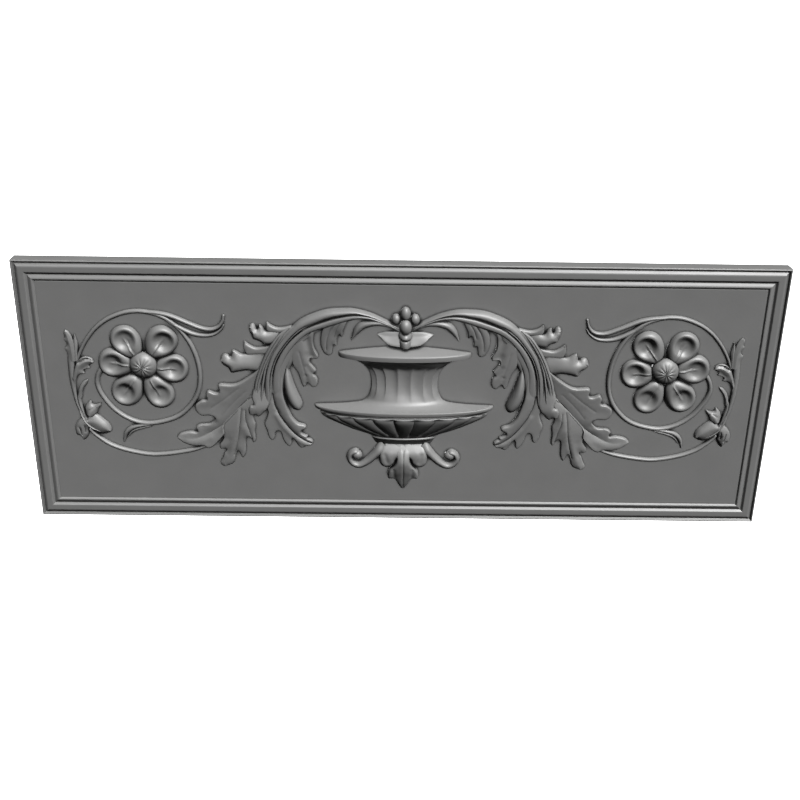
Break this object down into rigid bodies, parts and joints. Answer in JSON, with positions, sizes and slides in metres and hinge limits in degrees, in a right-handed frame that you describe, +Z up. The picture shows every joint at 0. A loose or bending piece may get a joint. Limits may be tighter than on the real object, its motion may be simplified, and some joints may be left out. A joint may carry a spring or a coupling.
{
  "type": "carved wall panel",
  "caption": "Long carved wall panel with a moulded border, a fluted urn between acanthus scrolls and a rosette in a ring scroll at each end.",
  "frame": {"origin": "centre of the flat back, where the panel meets the wall", "axes": "+X along the panel to the viewer's right, +Y into the wall, +Z up; the carved front faces -Y"},
  "size_m": [1, 0.0534, 0.37],
  "materials": {
    "painted_carving": "smooth satin grey paint over carved wood"
  },
  "bodies": {
    "root": {"carved_panel": "painted_carving"}
  },
  "joints": []
}
